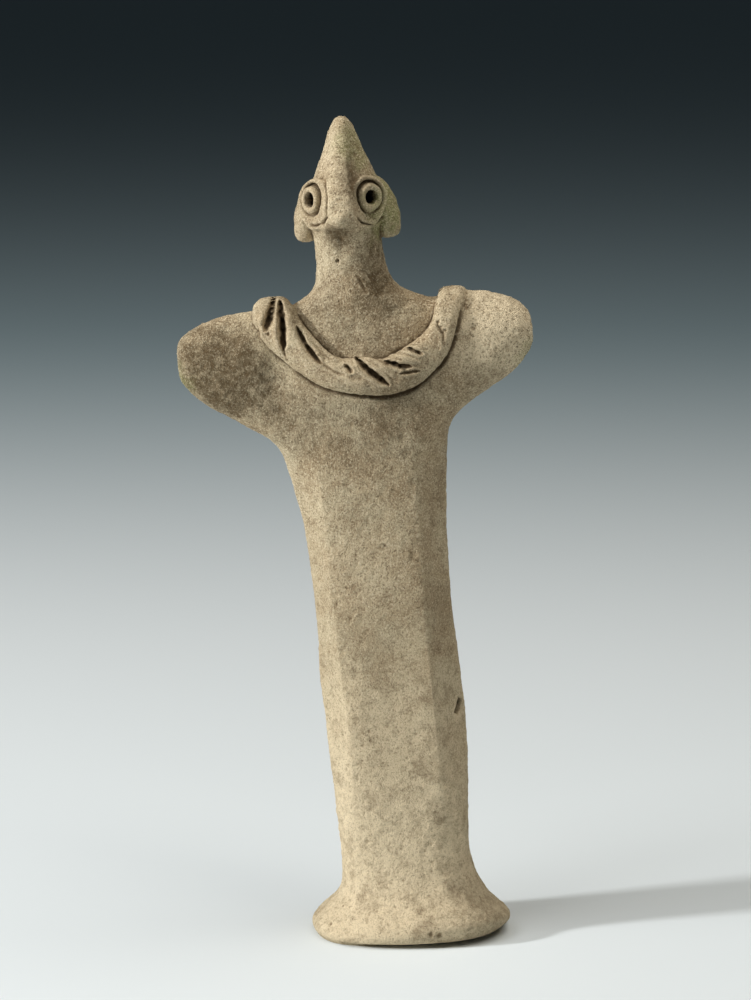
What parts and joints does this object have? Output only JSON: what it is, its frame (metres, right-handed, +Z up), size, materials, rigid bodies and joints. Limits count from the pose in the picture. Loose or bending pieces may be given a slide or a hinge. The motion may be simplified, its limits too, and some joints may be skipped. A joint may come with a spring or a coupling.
{
  "type": "terracotta goddess figurine",
  "caption": "Hand-modelled clay idol: flared foot, pillar body, stub arms, beaked head with pellet eyes, pointed headdress and a draped necklace.",
  "frame": {"origin": "on the flat underside, under the middle of the foot's rim", "axes": "+Z up along the standing figure; the figure faces -Y; +X is the viewer's right when it is seen from the front"},
  "size_m": [0.0686, 0.0306, 0.16],
  "materials": {
    "fired_clay": "matte unglazed buff terracotta, finely sandy and pitted, with brown burial stains"
  },
  "bodies": {
    "root": {"terracotta_goddess_figurine": "fired_clay"}
  },
  "joints": []
}
